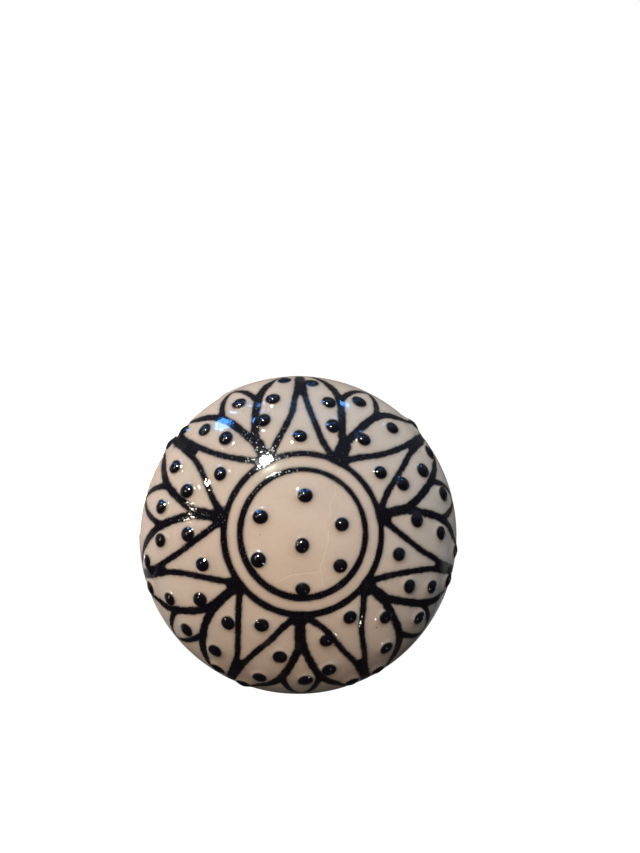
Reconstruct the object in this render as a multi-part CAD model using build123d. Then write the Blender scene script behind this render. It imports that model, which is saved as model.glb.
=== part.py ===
from build123d import *
from math import asin, atan2, cos, degrees, hypot, pi, radians, sin, sqrt
import os

# Round ceramic cabinet knob with a raised slip-trailed front, on a plated ferrule and a set-in bolt.
# Built on its axis, which is Z, with the cabinet's face at z = 0 and the decorated front on top.
# The finished pieces are turned so that the front faces -Y and the bolt runs along +Y into the cabinet.
# All lengths are millimetres, all angles degrees.

# Glazed body
KNOB_DIAMETER = 40.0
CROWN_RADIUS = 27.0
SHOULDER_RADIUS = 9.5
BACK_RADIUS = 32.0
SPIGOT_DIAMETER = 13.0
SPIGOT_LENGTH = 3.0
SOCKET_DIAMETER = 10.0
SOCKET_DEPTH = 11.5

# Ferrule between the body and the cabinet
FERRULE_HEIGHT = 6.5
FLANGE_DIAMETER = 20.0
FLANGE_THICKNESS = 1.6
FLANGE_ROUNDING = 0.5
COLLAR_DIAMETER = 16.4
COLLAR_THICKNESS = 1.8
SPIGOT_CLEARANCE = 0.1
BOLT_CLEARANCE = 0.15

# Bolt, held by its head in the socket
THREAD_DIAMETER = 4.0
THREAD_LENGTH = 30.0
THREAD_PITCH = 0.7
THREAD_DEPTH = 0.38
SHANK_DIAMETER = 3.5
HEAD_WIDTH = 7.0
HEAD_THICKNESS = 2.8
HEAD_COVER = 1.0
TIP_CHAMFER = 0.6

# Raised slip on the front: rings, petals and dots. A reach is a length over the surface from its middle.
PETALS = 7
FIRST_PETAL_TURN = -90.0
INNER_RING_REACH = 7.7
OUTER_RING_REACH = 9.9
ROSETTE_DOTS = 6
ROSETTE_DROP = 0.9
ROSETTE_MARGIN = 0.1
CAP_KEY = 0.5

# Trailed lines, each as its width, the width of its crest and its height
RING_BEAD = (0.8, 0.4, 0.36)
ARCH_BEAD = (0.9, 0.45, 0.42)
LEAF_BEAD = (0.9, 0.45, 0.38)
BUD_BEAD = (0.85, 0.4, 0.34)
STEM_BEAD = (1.3, 0.7, 0.5)
RAY_BEAD = (1.2, 0.6, 0.5)

# Round caps, each as its diameter and height: the dots, and the gathers of slip where lines start or meet
DOT_CAP = (1.9, 0.45)
FOOT_CAP = (2.4, 0.7)
SPLIT_CAP = (1.7, 0.63)
BRANCH_CAP = (1.4, 0.56)
FORK_CAP = (2.0, 0.7)
RAY_END_CAP = (1.8, 0.66)
BUD_TIP_CAP = (1.3, 0.53)

# One half of a petal's lines and dots, drawn on the dome as (across, along).
# Across runs from 0 on the petal's middle to 1 on the ray beside it.
# Along runs over the surface from 0 on the outer ring to 1 on the widest girth.
FOOT = (0.0, 0.0)
SPLIT = (0.0, 0.25)
BRANCH = (0.31, 0.5)
FORK = (1.0, 0.56)
RAY_END = (1.0, 1.0)
BUD_TIP = (0.0, 0.85)
STEM_LINE = (FOOT, (0.0, 0.13), SPLIT)
ARCH_LINE = (FOOT, (0.56, 0.185), FORK)
LEAF_LINE = ((0.0, 0.2), (0.15, 0.335), BRANCH, (0.64, 0.79), RAY_END)
BUD_LINE = (BRANCH, (0.22, 0.68), BUD_TIP)
RAY_LINE = (FORK, (1.0, 0.78), RAY_END)
LEAF_DOTS = ((0.45, 0.31), (0.58, 0.555), (0.81, 0.765))
BUD_DOT = (0.0, 0.6)
RAY_DOT = (1.0, 0.165)

# The body's outline is two domes joined by one shoulder arc, whose centre is level with the girth
girth_radius = KNOB_DIAMETER / 2
shoulder_offset = girth_radius - SHOULDER_RADIUS
crown_drop = sqrt((CROWN_RADIUS - SHOULDER_RADIUS) ** 2 - shoulder_offset**2)
back_rise = sqrt((BACK_RADIUS - SHOULDER_RADIUS) ** 2 - shoulder_offset**2)
crown_lean = asin(shoulder_offset / (CROWN_RADIUS - SHOULDER_RADIUS))
back_lean = asin(shoulder_offset / (BACK_RADIUS - SHOULDER_RADIUS))
land_radius = COLLAR_DIAMETER / 2
girth_height = FERRULE_HEIGHT + sqrt(BACK_RADIUS**2 - land_radius**2) - back_rise
spigot_foot = FERRULE_HEIGHT - SPIGOT_LENGTH
socket_floor = spigot_foot + SOCKET_DEPTH

# Reaches of the crown's edge and of the girth
crown_reach = CROWN_RADIUS * crown_lean
girth_reach = crown_reach + SHOULDER_RADIUS * (pi / 2 - crown_lean)
petal_turns = [FIRST_PETAL_TURN + k * 360 / PETALS for k in range(PETALS)]


def dome_plane(turn, reach):
    """The plane that touches the front at a turn about the axis and a reach from the middle."""
    if reach <= crown_reach:
        lean = reach / CROWN_RADIUS
        radius = CROWN_RADIUS * sin(lean)
        height = CROWN_RADIUS * cos(lean) - crown_drop
    else:
        lean = crown_lean + (reach - crown_reach) / SHOULDER_RADIUS
        radius = shoulder_offset + SHOULDER_RADIUS * sin(lean)
        height = SHOULDER_RADIUS * cos(lean)
    outward = Vector(cos(radians(turn)), sin(radians(turn)))
    normal = outward * sin(lean) + Vector(0, 0, cos(lean))
    return Plane(outward * radius + Vector(0, 0, girth_height + height), z_dir=normal)


def petal_plane(turn, across, along):
    """The same for a point of the petal whose middle is at a turn."""
    reach = OUTER_RING_REACH + along * (girth_reach - OUTER_RING_REACH)
    return dome_plane(turn + across * 180 / PETALS, reach)


def cap(plane, diameter, height):
    """A round cap on the surface, keyed a little way into it."""
    radius = (diameter**2 / 4 + height**2) / (2 * height)
    lowest = degrees(asin((radius - height - CAP_KEY) / radius))
    return plane * Pos(0, 0, height - radius) * Sphere(radius, arc_size1=lowest, align=None)


def bead_section(width, crest_width, height):
    """Section of a trailed line across the surface, keyed into it by half its height."""
    foot_width = width + (width - crest_width) / 2
    foot = (foot_width / 2, -height / 2)
    crest = (crest_width / 2, height)
    return Polygon(foot, crest, (-crest[0], crest[1]), (-foot[0], foot[1]), align=None)


def trail(points, side, bead):
    """A trailed line through every point of half a petal, each three in a row on one arc."""
    planes = [petal_plane(0, side * across, along) for across, along in points]
    beads = []
    for start in range(0, len(planes) - 2, 2):
        arc = ThreePointArc(*[plane.origin for plane in planes[start : start + 3]])
        section_plane = Plane(arc @ 0, x_dir=(arc % 0).cross(planes[start].z_dir), z_dir=-(arc % 0))
        beads.append(sweep(section_plane * bead_section(*bead), path=arc))
    return beads


def ring(reach):
    """A trailed line that circles the front."""
    plane = dome_plane(0, reach)
    section_plane = Plane(plane.origin, x_dir=Axis.Y.direction.cross(plane.z_dir), z_dir=-Axis.Y.direction)
    return revolve(section_plane * bead_section(*RING_BEAD), Axis.Z)


def ceramic_body():
    """Two domes, the land that sits on the ferrule, the spigot inside it and the blind bolt socket."""
    apex = (0, girth_height + CROWN_RADIUS - crown_drop)
    front_join = (CROWN_RADIUS * sin(crown_lean), girth_height + CROWN_RADIUS * cos(crown_lean) - crown_drop)
    girth = (girth_radius, girth_height)
    back_join = (BACK_RADIUS * sin(back_lean), girth_height + back_rise - BACK_RADIUS * cos(back_lean))
    land = (land_radius, FERRULE_HEIGHT)
    spigot_radius = SPIGOT_DIAMETER / 2
    socket_radius = SOCKET_DIAMETER / 2
    outline = (
        RadiusArc(apex, front_join, CROWN_RADIUS)
        + RadiusArc(front_join, girth, SHOULDER_RADIUS)
        + RadiusArc(girth, back_join, SHOULDER_RADIUS)
        + RadiusArc(back_join, land, BACK_RADIUS)
        + Polyline(
            land,
            (spigot_radius, FERRULE_HEIGHT),
            (spigot_radius, spigot_foot),
            (socket_radius, spigot_foot),
            (socket_radius, socket_floor),
            (0, socket_floor),
            apex,
        )
    )
    return revolve(Plane.XZ * make_face(outline), Axis.Z)


def base_ferrule():
    """Turned flange and collar with a cove between them, a seat for the spigot and a bolt hole."""
    flange_radius = FLANGE_DIAMETER / 2
    collar_foot = FERRULE_HEIGHT - COLLAR_THICKNESS
    waist_radius = land_radius - COLLAR_THICKNESS / 2
    seat_radius = SPIGOT_DIAMETER / 2 + SPIGOT_CLEARANCE
    seat_floor = spigot_foot - SPIGOT_CLEARANCE
    hole_radius = THREAD_DIAMETER / 2 + BOLT_CLEARANCE
    round_foot = (flange_radius, FLANGE_THICKNESS - FLANGE_ROUNDING)
    round_top = (flange_radius - FLANGE_ROUNDING, FLANGE_THICKNESS)
    cove_foot = (waist_radius + (collar_foot - FLANGE_THICKNESS) / 2, FLANGE_THICKNESS)
    cove_top = (waist_radius, collar_foot)
    outline = (
        Polyline((hole_radius, 0), (flange_radius, 0), round_foot)
        + RadiusArc(round_foot, round_top, -FLANGE_ROUNDING)
        + Line(round_top, cove_foot)
        + SagittaArc(cove_foot, cove_top, (collar_foot - FLANGE_THICKNESS) / 4)
        + RadiusArc(cove_top, (waist_radius, FERRULE_HEIGHT), -COLLAR_THICKNESS / 2)
        + Polyline(
            (waist_radius, FERRULE_HEIGHT),
            (seat_radius, FERRULE_HEIGHT),
            (seat_radius, seat_floor),
            (hole_radius, seat_floor),
            (hole_radius, 0),
        )
    )
    return revolve(Plane.XZ * make_face(outline), Axis.Z)


def bolt_thread():
    """Threaded length with a plain, bevelled tip. Each turn is drawn as a ring with a flat crest and root."""
    crest = THREAD_DIAMETER / 2
    root = crest - THREAD_DEPTH
    turns = int((THREAD_LENGTH - TIP_CHAMFER) / THREAD_PITCH - 0.5)
    points = [(0, 0)]
    for k in range(turns):
        start = -k * THREAD_PITCH
        points += [
            (crest, start),
            (crest, start - THREAD_PITCH / 8),
            (root, start - THREAD_PITCH * 7 / 16),
            (root, start - THREAD_PITCH * 11 / 16),
        ]
    points += [
        (crest, -turns * THREAD_PITCH),
        (crest, TIP_CHAMFER - THREAD_LENGTH),
        (crest - TIP_CHAMFER, -THREAD_LENGTH),
        (0, -THREAD_LENGTH),
    ]
    return revolve(Plane.XZ * make_face(Polyline(*points, close=True)), Axis.Z)


def mounting_bolt():
    """Hexagon head in the socket, plain shank through the ferrule and the thread behind it."""
    head_foot = socket_floor - HEAD_COVER - HEAD_THICKNESS
    head = Pos(0, 0, head_foot) * extrude(RegularPolygon(HEAD_WIDTH / 2, 6, major_radius=False), HEAD_THICKNESS)
    shank = extrude(Circle(SHANK_DIAMETER / 2), head_foot)
    return head + shank + bolt_thread()


def setting_plaster(bolt):
    """Plug that fills the socket round the bolt's head and shank."""
    plug = Pos(0, 0, spigot_foot) * extrude(Circle(SOCKET_DIAMETER / 2), SOCKET_DEPTH)
    return plug - bolt


def petal_lines():
    """The lines of the petal at turn 0: the gathers first, then each line that starts or ends in them."""
    pieces = [
        cap(petal_plane(0, *FOOT), *FOOT_CAP),
        cap(petal_plane(0, *SPLIT), *SPLIT_CAP),
        cap(petal_plane(0, *FORK), *FORK_CAP),
        cap(petal_plane(0, *RAY_END), *RAY_END_CAP),
        cap(petal_plane(0, *BUD_TIP), *BUD_TIP_CAP),
    ]
    pieces += trail(STEM_LINE, 1, STEM_BEAD) + trail(RAY_LINE, 1, RAY_BEAD)
    for side in (-1, 1):
        pieces.append(cap(petal_plane(0, side * BRANCH[0], BRANCH[1]), *BRANCH_CAP))
        pieces += trail(ARCH_LINE, side, ARCH_BEAD)
        pieces += trail(LEAF_LINE, side, LEAF_BEAD)
        pieces += trail(BUD_LINE, side, BUD_BEAD)
    lines = Part()
    for piece in pieces:
        lines += piece
    return lines


def slip_lines(body):
    """Two rings and the lines of every petal."""
    lines = Part() + ring(OUTER_RING_REACH)
    petal = petal_lines()
    for turn in petal_turns:
        lines += Rot(Z=turn) * petal
    return lines + ring(INNER_RING_REACH) - body


def slip_dots(body, lines):
    """Round dots in the middle, the rays, the leaves and the buds, each ending where it meets a line."""
    rosette_radius = INNER_RING_REACH - (RING_BEAD[0] + DOT_CAP[0]) / 2 - ROSETTE_DROP - ROSETTE_MARGIN
    planes = [dome_plane(FIRST_PETAL_TURN, ROSETTE_DROP)]
    for k in range(ROSETTE_DOTS):
        turn = radians(FIRST_PETAL_TURN + k * 360 / ROSETTE_DOTS)
        x = rosette_radius * cos(turn)
        y = rosette_radius * sin(turn) - ROSETTE_DROP
        planes.append(dome_plane(degrees(atan2(y, x)), hypot(x, y)))
    petal_dots = [BUD_DOT, RAY_DOT]
    for across, along in LEAF_DOTS:
        petal_dots += [(-across, along), (across, along)]
    for turn in petal_turns:
        planes += [petal_plane(turn, across, along) for across, along in petal_dots]
    return Part() + [cap(plane, *DOT_CAP) - body for plane in planes] - lines


body = ceramic_body()
bolt = mounting_bolt()
lines = slip_lines(body)
nodes = {
    "ceramic_body": body,
    "slip_lines": lines,
    "slip_dots": slip_dots(body, lines),
    "base_ferrule": base_ferrule(),
    "mounting_bolt": bolt,
    "setting_plaster": setting_plaster(bolt),
}

os.makedirs("parts", exist_ok=True)
for name, shape in nodes.items():
    export_step(Rot(X=90) * shape, f"parts/{name}.step")
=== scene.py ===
import random
from collections import namedtuple
from math import asin, atan2, ceil, cos, hypot, pi, radians, sin, sqrt

import bmesh
import bpy
import numpy as np
from bpy.props import FloatProperty, FloatVectorProperty, IntProperty, PointerProperty
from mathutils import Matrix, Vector


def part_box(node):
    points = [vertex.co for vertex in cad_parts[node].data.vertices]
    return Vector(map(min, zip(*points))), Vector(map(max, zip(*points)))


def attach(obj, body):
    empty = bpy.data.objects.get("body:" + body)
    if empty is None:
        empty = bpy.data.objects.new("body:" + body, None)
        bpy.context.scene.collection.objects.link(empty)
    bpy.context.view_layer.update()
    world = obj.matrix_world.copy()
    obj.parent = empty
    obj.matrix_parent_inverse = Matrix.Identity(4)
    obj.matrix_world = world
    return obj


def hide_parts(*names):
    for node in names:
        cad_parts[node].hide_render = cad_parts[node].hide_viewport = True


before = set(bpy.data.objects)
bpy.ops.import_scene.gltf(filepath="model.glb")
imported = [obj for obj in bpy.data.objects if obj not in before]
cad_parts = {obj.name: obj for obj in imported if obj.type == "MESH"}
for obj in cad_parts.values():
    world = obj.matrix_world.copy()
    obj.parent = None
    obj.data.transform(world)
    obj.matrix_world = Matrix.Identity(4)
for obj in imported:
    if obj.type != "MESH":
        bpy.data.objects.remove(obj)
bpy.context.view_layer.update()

bl_info = {
    "name": "Slip-trailed Cabinet Knob",
    "version": (1, 0, 0),
    "blender": (4, 5, 0),
    "location": "3D View > Sidebar > Knob",
    "description": "Dresses a ceramic cabinet knob with trailed slip, a turned ferrule and a threaded bolt",
    "category": "Object",
}

# Lengths are metres; the places below are millimetres over the surface and degrees of turn
MM = 0.001

# The knob's axis is Y, its front faces -Y, and its sizes come from the frame
body_low, body_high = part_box("ceramic_body")
ferrule_low, ferrule_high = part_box("base_ferrule")
bolt_low, bolt_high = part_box("mounting_bolt")

# One petal of the trailed pattern, as it was drawn by hand. Turns are degrees from the petal's middle,
# reaches are millimetres over the surface from the middle of the front.
Petal = namedtuple("Petal", "stem spread split left_branch right_branch left_leaf right_leaf tip")
PETALS = (
    Petal(-0.8, 0.9, (0.2, 15.0), (-7.3, 19.3), (8.0, 19.1), -13.2, 14.6, (1.0, 24.0)),
    Petal(0.9, 0.9, (0.9, 14.2), (-6.3, 18.7), (9.3, 18.9), -13.8, 14.9, (1.2, 23.6)),
    Petal(0.8, 0.1, (0.5, 15.0), (-6.6, 19.3), (9.2, 19.0), -13.0, 15.2, (0.5, 24.0)),
    Petal(-0.2, 1.9, (0.8, 13.3), (-7.2, 18.8), (9.2, 18.6), -15.1, 15.7, (-0.2, 23.4)),
    Petal(0.0, 1.0, (0.8, 14.1), (-8.0, 18.7), (8.3, 18.6), -14.6, 16.3, (-0.5, 23.3)),
    Petal(1.2, 1.0, (1.6, 14.5), (-7.3, 18.9), (9.2, 18.5), -15.1, 16.3, (-0.3, 23.4)),
    Petal(0.3, 0.1, (1.0, 15.8), (-7.4, 19.7), (7.3, 18.6), -12.6, 14.3, (1.0, 24.3)),
)
FIRST_PETAL_TURN = -90.0
PITCH = 360.0 / len(PETALS)

# Turns of each petal's left and right arch at four reaches
ARCH_REACHES = (12.0, 14.0, 16.0, 18.0)
ARCHES = (
    ((-11.5, -16.1, -20.3, -23.0), (12.7, 17.3, 20.0, 22.7)),
    ((-11.0, -18.0, -21.2, -23.2), (12.4, 18.0, 21.5, 23.8)),
    ((-10.7, -16.7, -20.7, -22.8), (12.7, 17.3, 20.6, 23.3)),
    ((-11.0, -18.2, -22.0, -24.0), (12.8, 17.8, 21.2, 23.4)),
    ((-10.8, -17.6, -21.7, -23.3), (12.7, 18.9, 22.2, 24.0)),
    ((-8.9, -16.4, -21.0, -23.0), (11.7, 17.5, 21.5, 24.0)),
    ((-10.0, -16.0, -20.2, -22.5), (10.4, 16.5, 20.8, 23.8)),
)

# Rays between the petals: each one's turn from midway, the reach where its two arches meet and its width
RAYS = (
    (-0.6, 18.3, 1.4), (-0.1, 18.4, 1.4), (-0.4, 18.55, 1.45), (-0.2, 18.65, 1.4), (0.7, 17.3, 1.75),
    (1.4, 18.4, 1.5), (0.2, 18.35, 1.4),
)

# Reaches that all petals share, from the outer ring to the leaves' ends
PETAL_FOOT = 10.2
STEM_TOP = 12.4
ARCH_END = 20.2
LEAF_BEND = 22.0
RAY_BEND = 22.5
LEAF_END = 25.8

# Turns of a petal's lines to each side: its arches' feet, its leaves' split, and arch and leaf at the ray
ARCH_FOOT_TURN = 2.6
SPLIT_TURN = 1.9
ARCH_END_TURN = 0.8
LEAF_END_TURN = 1.2

# Dots of each petal: three in the left leaf, three in the right leaf, one in the bud
PETAL_DOTS = (
    ((-9.7, 16.0), (-15.8, 20.2), (-20.5, 23.4), (13.5, 13.8), (11.9, 18.3), (19.7, 22.5), (2.1, 19.7)),
    ((-5.6, 15.2), (-14.2, 19.1), (-21.3, 22.8), (13.0, 15.5), (16.9, 19.0), (21.5, 22.5), (3.6, 19.7)),
    ((-5.8, 15.0), (-12.3, 18.8), (-18.8, 23.0), (13.5, 14.5), (14.6, 18.4), (19.3, 21.8), (2.9, 20.6)),
    ((-7.8, 14.5), (-15.2, 18.8), (-20.3, 24.2), (9.2, 14.4), (13.5, 17.8), (21.3, 21.2), (1.7, 19.7)),
    ((-7.4, 15.4), (-14.2, 18.3), (-20.1, 22.0), (12.4, 15.7), (16.8, 18.9), (22.5, 22.2), (-0.6, 19.5)),
    ((-7.8, 15.7), (-15.4, 19.0), (-22.1, 23.2), (13.0, 14.4), (15.3, 18.6), (23.0, 21.8), (1.7, 18.9)),
    ((-5.6, 15.4), (-12.2, 19.6), (-18.7, 23.0), (11.9, 14.6), (15.2, 19.3), (20.1, 22.6), (1.5, 20.2)),
)

# One dot in each ray, as its turn from midway and its reach, and the dots of the middle as (right, up)
RAY_DOTS = ((4.6, 12.0), (1.3, 12.5), (-0.7, 12.6), (0.9, 12.3), (2.0, 12.7), (4.2, 13.0), (2.1, 12.4))
MIDDLE_DOTS = (
    (-0.03, -1.37), (0.35, 4.65), (-5.05, 2.08), (4.78, 1.17), (-5.31, -3.12), (4.63, -3.84), (0.08, -6.68),
)

# Hairline cracks in the glaze of the front, as (right, up) points
CRACKS = (
    ((4.6, 8.3), (4.5, 7.3), (3.85, 4.7), (3.4, 3.3), (3.25, 0.55), (3.2, -0.8), (2.9, -2.1), (2.3, -3.8)),
    ((2.3, -3.8), (2.35, -5.0), (2.8, -6.9)),
    ((-3.3, -5.9), (-1.3, -4.9), (0.7, -4.7), (2.3, -4.5)),
    ((8.65, -12.2), (9.3, -11.7), (10.5, -10.9)),
)

# The hand's shake along a line, as a share of its width, and the waves it comes in
SHAKE = 0.05
SHAKE_WAVES = (1.1, 2.6)

# Spacing of the points along a line, as a share of its mesh's spacing
PATH_FINENESS = 0.7


def millimetres(name, description, value):
    """A length that a user can change."""
    return FloatProperty(name=name, description=description, default=value * MM, unit="LENGTH")


def angle(name, description, degrees):
    """An angle that a user can change."""
    return FloatProperty(name=name, description=description, default=radians(degrees), subtype="ANGLE")


def tint(name, description, colour):
    """A colour that a user can change."""
    return FloatVectorProperty(name=name, description=description, default=colour, size=3, subtype="COLOR")


def brightness(name, description, level):
    """A level of light that a user can change."""
    return FloatProperty(name=name, description=description, default=level, min=0.0)


class KnobShape(bpy.types.PropertyGroup):
    """Sizes of the glazed body."""

    crown_radius: millimetres("Crown Radius", "Radius of the domed front", 27.0)
    shoulder_radius: millimetres("Shoulder Radius", "Radius of the rounding at the girth", 9.5)
    back_radius: millimetres("Back Radius", "Radius of the domed back", 32.0)
    spigot_length: millimetres("Spigot Length", "Depth of the spigot in the ferrule", 3.0)
    spigot_diameter: millimetres("Spigot Diameter", "Width of the spigot in the ferrule", 13.0)
    socket_diameter: millimetres("Socket Diameter", "Width of the bolt's socket", 10.0)
    waviness: millimetres("Waviness", "Height of the glaze's slow waves", 0.01)
    segments: IntProperty(name="Segments", description="Faces round the axis", default=360, min=24)


class SlipTrail(bpy.types.PropertyGroup):
    """Sizes of the trailed slip."""

    ring_width: millimetres("Ring Width", "Width of the two rings", 0.77)
    inner_reach: millimetres("Inner Ring", "Reach of the inner ring", 7.79)
    outer_reach: millimetres("Outer Ring", "Reach of the outer ring", 9.9)
    arch_width: millimetres("Arch Width", "Width of the arches", 0.75)
    leaf_width: millimetres("Leaf Width", "Width of the leaf lines at the stem", 1.0)
    bud_width: millimetres("Bud Width", "Width of the bud lines", 0.74)
    foot_width: millimetres("Foot Width", "Width of the slip that gathers at a petal's foot", 1.35)
    height: millimetres("Height", "Height that a very wide line reaches", 0.014)
    rise: millimetres("Rise", "Width over which a line climbs", 0.2)
    foot: millimetres("Foot", "Softness of a line's foot", 0.1)
    joining: millimetres("Joining", "How far wet lines flow into each other", 0.12)
    dot_width: millimetres("Dot Width", "Width of the dots", 1.78)
    dot_height: millimetres("Dot Height", "Height of the dots", 0.56)
    dot_foot: millimetres("Dot Foot", "Softness of the glaze round a dot", 0.16)
    lift: millimetres("Lift", "How far the thin edge stands over the body", 0.004)
    key: millimetres("Key", "How deep the underside lies in the body", 0.2)
    step: millimetres("Step", "Spacing of the lines' mesh", 0.152)


class KnobFixing(bpy.types.PropertyGroup):
    """Sizes of the ferrule and the bolt."""

    flange_thickness: millimetres("Flange Thickness", "Thickness of the flange's edge", 1.6)
    flange_rounding: millimetres("Flange Rounding", "Rounding of the flange's front edge", 0.5)
    collar_diameter: millimetres("Collar Diameter", "Width of the collar at the body", 16.4)
    collar_thickness: millimetres("Collar Thickness", "Thickness of the rounded collar", 1.8)
    edge_break: millimetres("Edge Break", "Small bevel on turned edges", 0.15)
    hole_diameter: millimetres("Hole Diameter", "Width of the bolt's hole", 4.3)
    seat_clearance: millimetres("Seat Clearance", "Gap between spigot and ferrule", 0.1)
    thread_diameter: millimetres("Thread Diameter", "Crest diameter of the thread", 4.0)
    thread_pitch: millimetres("Thread Pitch", "Rise of one turn", 0.7)
    thread_depth: millimetres("Thread Depth", "Depth of the thread", 0.38)
    shank_diameter: millimetres("Shank Diameter", "Diameter of the plain shank", 3.5)
    head_width: millimetres("Head Width", "Width across the head's flats", 7.0)
    head_thickness: millimetres("Head Thickness", "Thickness of the head", 2.8)
    tip_chamfer: millimetres("Tip Chamfer", "Bevel at the bolt's tip", 0.6)


class KnobFinish(bpy.types.PropertyGroup):
    """Colours of the finishes."""

    ivory: tint("Ivory", "Body under clear glaze", (0.66, 0.52, 0.405))
    blush: tint("Blush", "Darker clouding", (0.58, 0.445, 0.345))
    speck: tint("Speck", "Iron specks", (0.2, 0.13, 0.085))
    crack: tint("Crack", "Hairline cracks", (0.84, 0.72, 0.58))
    slip: tint("Slip", "Thick black slip", (0.0035, 0.003, 0.0055))
    thin_slip: tint("Thin Slip", "Slip laid thinly", (0.055, 0.038, 0.028))
    biscuit: tint("Biscuit", "Bare fired clay", (0.5, 0.36, 0.25))
    nickel: tint("Nickel", "Plating of the ferrule", (0.6, 0.56, 0.5))
    zinc: tint("Zinc", "Plating of the bolt", (0.5, 0.51, 0.53))
    tarnish: tint("Tarnish", "Dulled metal", (0.2, 0.17, 0.14))
    plaster: tint("Plaster", "Setting plaster", (0.72, 0.69, 0.63))


class KnobStudio(bpy.types.PropertyGroup):
    """The view and the light."""

    distance: millimetres("Distance", "From the camera to the girth", 300.0)
    turn: angle("Turn", "Camera's turn round the knob", -2.2)
    rise: angle("Rise", "Camera's rise above the axis", -0.2)
    floor_drop: millimetres("Floor Drop", "From the axis down to the floor", 75.0)
    key_light: brightness("Key Light", "Level of the key lamp", 0.41)
    front_fill: brightness("Front Fill", "Level of the front fill", 0.355)
    soft_fill: brightness("Soft Fill", "Level of the upper left fill", 0.27)
    near_fill: brightness("Near Fill", "Level of the near warm fill", 0.09)
    back_fill: brightness("Back Fill", "Level of the left rear fill", 0.7)
    cool_fill: brightness("Cool Fill", "Level of the right fill", 0.45)
    rim_light: brightness("Rim Light", "Level of the rear light", 0.45)
    rear_fill: brightness("Rear Fill", "Level of the right rear fill", 0.5)
    window: brightness("Windows", "Level of the sky in the windows", 0.36)
    ambient: brightness("Ambient", "Level of the light all round", 0.005)


def body_outline():
    """Centres, leans and reaches of the body's outline, in metres and radians."""
    shape = bpy.context.scene.knob_shape
    offset = body_high.x - shape.shoulder_radius
    crown_span = shape.crown_radius - shape.shoulder_radius
    back_span = shape.back_radius - shape.shoulder_radius
    crown_lean = asin(offset / crown_span)
    crown_drop = sqrt(crown_span**2 - offset**2)
    girth_y = body_low.y + shape.crown_radius - crown_drop
    crown_reach = shape.crown_radius * crown_lean
    return {
        "offset": offset,
        "crown_lean": crown_lean,
        "crown_centre": girth_y + crown_drop,
        "girth_y": girth_y,
        "crown_reach": crown_reach,
        "girth_reach": crown_reach + shape.shoulder_radius * (pi / 2 - crown_lean),
        "back_lean": asin(offset / back_span),
        "back_centre": girth_y - sqrt(back_span**2 - offset**2),
    }


def glaze_wave(points):
    """Slow unevenness of the glaze, from -1 to 1, in waves of six to twenty millimetres."""
    x, y, z = points.T / MM
    first = np.sin(0.55 * x + 0.31 * z + 0.4 * y + 0.8)
    second = np.sin(0.42 * z - 0.61 * x + 1.9) * np.sin(0.5 * y + 0.27 * x)
    third = np.sin(0.97 * x + 0.4) * np.sin(0.88 * z + 2.1)
    return 0.4 * first + 0.35 * second + 0.25 * third


def lay(flat, raised=0.0):
    """Surface points for flat places, each at its reach and turn from the front's middle."""
    shape = bpy.context.scene.knob_shape
    outline = body_outline()
    reach = np.hypot(flat[:, 0], flat[:, 1])
    turn = np.arctan2(flat[:, 1], flat[:, 0])
    on_crown = reach <= outline["crown_reach"]
    crown_lean = reach / shape.crown_radius
    shoulder_lean = outline["crown_lean"] + (reach - outline["crown_reach"]) / shape.shoulder_radius
    lean = np.where(on_crown, crown_lean, shoulder_lean)
    ball = np.where(on_crown, shape.crown_radius, shape.shoulder_radius)
    radius = np.where(on_crown, 0.0, outline["offset"]) + ball * np.sin(lean)
    depth = np.where(on_crown, outline["crown_centre"], outline["girth_y"]) - ball * np.cos(lean)
    points = np.column_stack((radius * np.cos(turn), depth, radius * np.sin(turn)))
    normals = np.column_stack((np.sin(lean) * np.cos(turn), -np.cos(lean), np.sin(lean) * np.sin(turn)))
    lift = raised + shape.waviness * glaze_wave(points)
    return points + normals * np.reshape(lift, (-1, 1))


def flat_place(turn, reach):
    """Flat place of a turn in degrees and a reach in millimetres."""
    return np.array((reach * cos(radians(turn)), reach * sin(radians(turn)))) * MM


def smooth_path(places, step):
    """Evenly fine places along a smooth line through every given place."""
    places = np.array(places)
    ends = np.vstack((2 * places[0] - places[1], places, 2 * places[-1] - places[-2]))
    path = []
    for before, start, end, after in zip(ends, ends[1:], ends[2:], ends[3:]):
        count = max(2, ceil(np.linalg.norm(end - start) / step))
        t = np.linspace(0, 1, count, endpoint=False)[:, None]
        straight = 2 * start + (end - before) * t
        bend = (2 * before - 5 * start + 4 * end - after) * t**2
        turn_in = (3 * start - before - 3 * end + after) * t**3
        path.append((straight + bend + turn_in) / 2)
    return np.vstack(path + [places[-1:]])


def stroke(places, widths, seed):
    """A trailed line: its surface points and half its width at each, a little uneven as a hand draws it."""
    step = bpy.context.scene.slip_trail.step * PATH_FINENESS
    path = smooth_path(places, step)
    share = np.linspace(0, 1, len(path))
    half = np.interp(share, np.linspace(0, 1, len(widths)), widths) / 2
    phases = random.Random(seed)
    run = len(path) * step / MM
    for wave in SHAKE_WAVES:
        half = half * (1 + SHAKE * np.sin(share * run * 2 * pi / wave + phases.uniform(0, 2 * pi)))
    half = half * np.interp(np.hypot(*path.T) / MM, (21.5, 25.0), (1.0, 0.55))
    return lay(path), half


def bud_place(branch, tip, rise):
    """Turn and reach of the bud's line at a rise from its branch, 0, to its tip, 1."""
    return tip[0] + (branch[0] - tip[0]) * (1 - rise) ** 0.6, branch[1] + (tip[1] - branch[1]) * rise


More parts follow.
